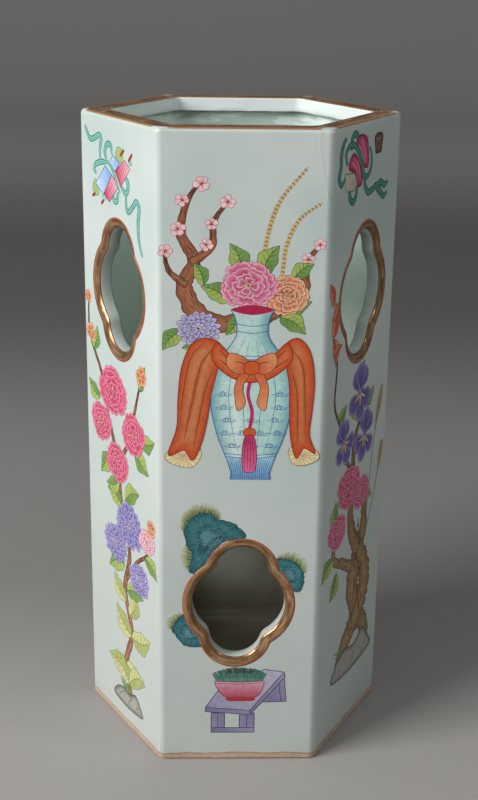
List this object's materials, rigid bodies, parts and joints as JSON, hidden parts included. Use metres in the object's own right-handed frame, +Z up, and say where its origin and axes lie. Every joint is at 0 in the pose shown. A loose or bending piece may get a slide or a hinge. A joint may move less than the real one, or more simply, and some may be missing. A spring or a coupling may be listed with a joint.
{
  "type": "hexagonal porcelain hat stand",
  "caption": "Tall hexagonal glazed porcelain hat stand with a flat rim, an open mouth and a four-lobed pierced window in every wall, low and high by turns.",
  "frame": {"origin": "middle of the foot, on the surface that the pot stands on", "axes": "+Z up through the mouth, -Y out of the front wall, +X to the right as the front wall is seen"},
  "size_m": [0.1388, 0.1212, 0.285],
  "materials": {
    "wall_glaze": "glossy pale grey-green transparent glaze on white porcelain, painted over the glaze in enamels",
    "rim_enamel": "iron-brown enamel and worn gilding over the glaze",
    "base_glaze": "thin greyish glaze, duller than the outside",
    "inner_glaze": "pale grey-green glaze"
  },
  "bodies": {
    "root": {"wall_front": "wall_glaze", "wall_front_right": "wall_glaze", "wall_back_right": "wall_glaze", "wall_back": "wall_glaze", "wall_back_left": "wall_glaze", "wall_front_left": "wall_glaze", "base_slab": "base_glaze", "mouth_rim": "rim_enamel", "base_strip": "inner_glaze", "corner_strip_front_right": "inner_glaze", "corner_strip_right": "inner_glaze", "corner_strip_back_right": "inner_glaze", "corner_strip_back_left": "inner_glaze", "corner_strip_left": "inner_glaze", "corner_strip_front_left": "inner_glaze"}
  },
  "joints": []
}
